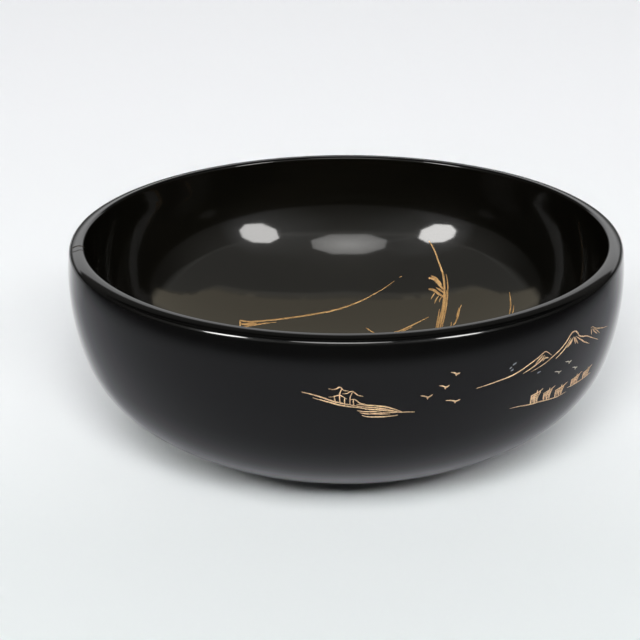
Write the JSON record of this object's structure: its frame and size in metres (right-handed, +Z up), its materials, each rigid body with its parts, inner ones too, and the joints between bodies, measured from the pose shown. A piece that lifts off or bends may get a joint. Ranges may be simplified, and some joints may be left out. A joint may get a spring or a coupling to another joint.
{
  "type": "serving bowl",
  "caption": "Large low turned wooden bowl in glossy black lacquer on a low foot ring, with a fine gold line landscape outside and inside.",
  "frame": {"origin": "centre of the resting plane, under the foot ring", "axes": "+Z up along the axis of turning, -Y towards the side with the islet, +X to the right of it"},
  "size_m": [0.28, 0.28, 0.108],
  "materials": {
    "wood": "turned wood, covered by the lacquer",
    "outer_lacquer": "polished black lacquer",
    "inner_lacquer": "polished lacquer, black turning olive brown",
    "underside_lacquer": "satin black lacquer",
    "gold_outside": "gold powder lines, slightly raised",
    "gold_inside": "gold powder lines, worn and warmer",
    "silver_powder": "silver powder dots"
  },
  "bodies": {
    "root": {"wood_core": "wood", "foot_ring": "wood", "outer_lacquer": "outer_lacquer", "inner_lacquer": "inner_lacquer", "underside_lacquer": "underside_lacquer", "gold_islet": "gold_outside", "gold_birds": "gold_outside", "gold_mountains": "gold_outside", "gold_bushes_near": "gold_outside", "gold_bushes_far": "gold_outside", "gold_long_slope": "gold_inside", "gold_second_slope": "gold_inside", "gold_short_stroke": "gold_inside", "gold_pine": "gold_inside", "gold_bud": "gold_inside", "gold_reeds": "gold_inside", "silver_flecks": "silver_powder", "silver_birds": "silver_powder"}
  },
  "joints": []
}
